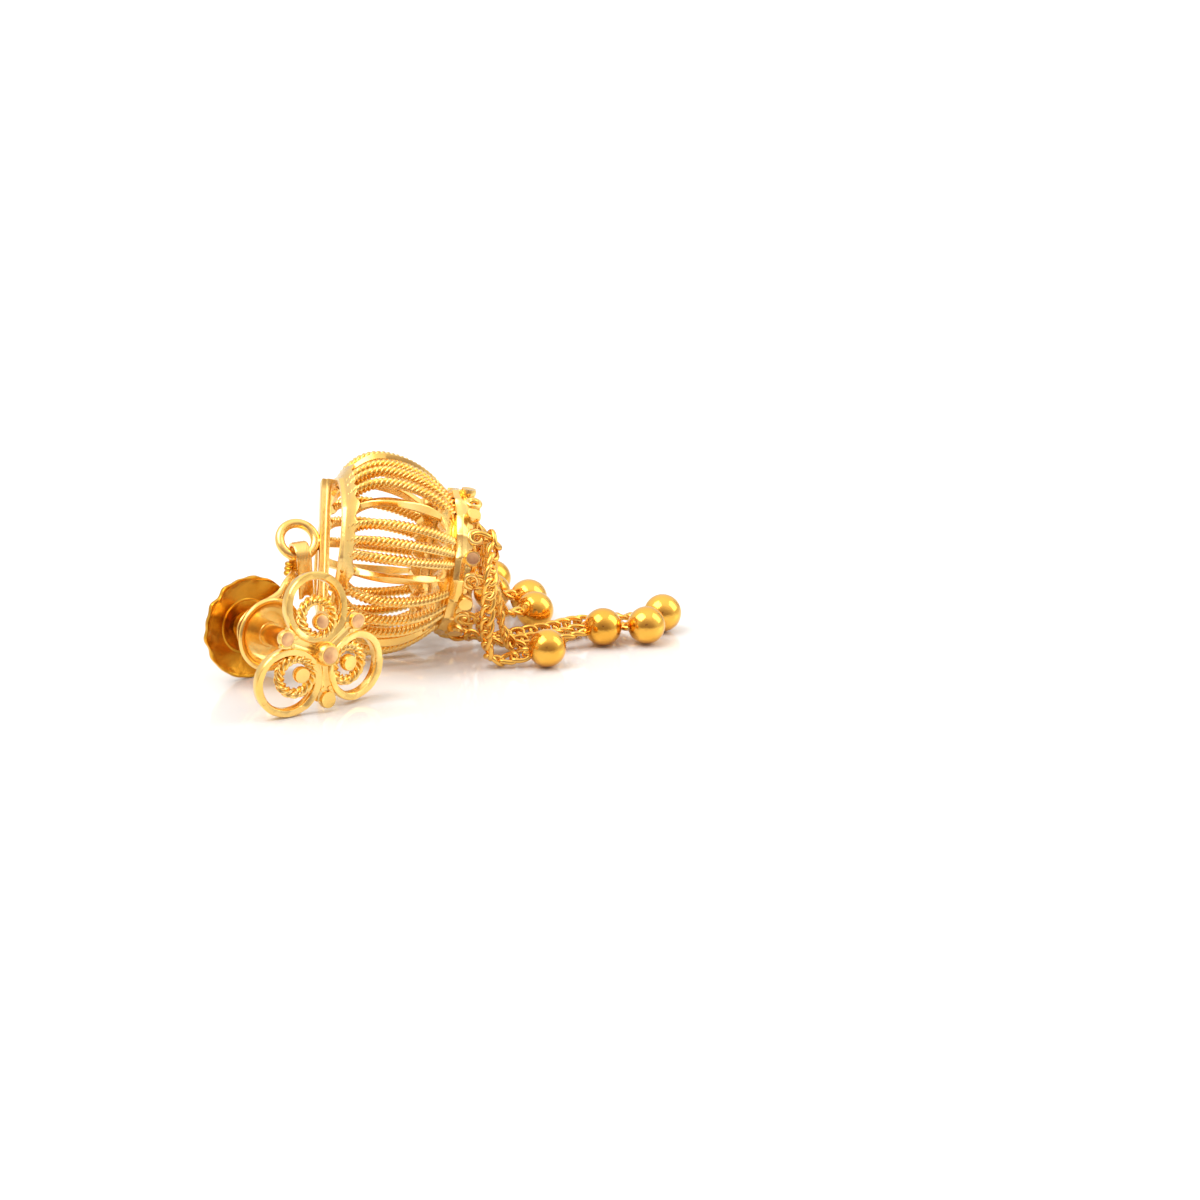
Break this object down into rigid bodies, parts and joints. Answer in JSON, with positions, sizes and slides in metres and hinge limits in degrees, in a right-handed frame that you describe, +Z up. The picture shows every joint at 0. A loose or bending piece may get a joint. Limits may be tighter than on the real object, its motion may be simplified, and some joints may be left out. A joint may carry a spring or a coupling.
{
  "type": "jhumka earring",
  "caption": "Yellow gold jhumka earring lying on its side, with a trefoil stud, screw back, bail, openwork bell of twisted wires, and fine chains that end in balls.",
  "frame": {"origin": "bottom centre of the bounding box, on the surface the earring lies on", "axes": "+X from the screw back towards the balls, +Y away from the camera of the picture, +Z up"},
  "size_m": [0.037, 0.0384, 0.0159],
  "materials": {
    "bell_gold": "polished yellow gold with twisted wires",
    "stud_gold": "polished yellow gold with small cut faces",
    "back_gold": "bright polished yellow gold",
    "chain_gold": "polished yellow gold links",
    "ball_gold": "mirror-polished yellow gold"
  },
  "bodies": {
    "earring": {"stud": "stud_gold", "bail": "stud_gold", "bell": "bell_gold", "chain_01": "chain_gold", "chain_02": "chain_gold", "chain_03": "chain_gold", "chain_04": "chain_gold", "chain_05": "chain_gold", "chain_06": "chain_gold", "chain_07": "chain_gold", "chain_08": "chain_gold", "chain_09": "chain_gold", "chain_10": "chain_gold", "ball_01": "ball_gold", "ball_02": "ball_gold", "ball_03": "ball_gold", "ball_04": "ball_gold", "ball_05": "ball_gold", "ball_06": "ball_gold", "ball_07": "ball_gold", "ball_08": "ball_gold", "ball_09": "ball_gold", "ball_10": "ball_gold"},
    "screw_back": {"screw_back": "back_gold"}
  },
  "joints": [
    {"name": "screw_slide", "type": "slide", "parent": "earring", "child": "screw_back", "axis": [-0.5931, 0.8024, -0.0654], "range_m": [0, 0.006]}
  ]
}
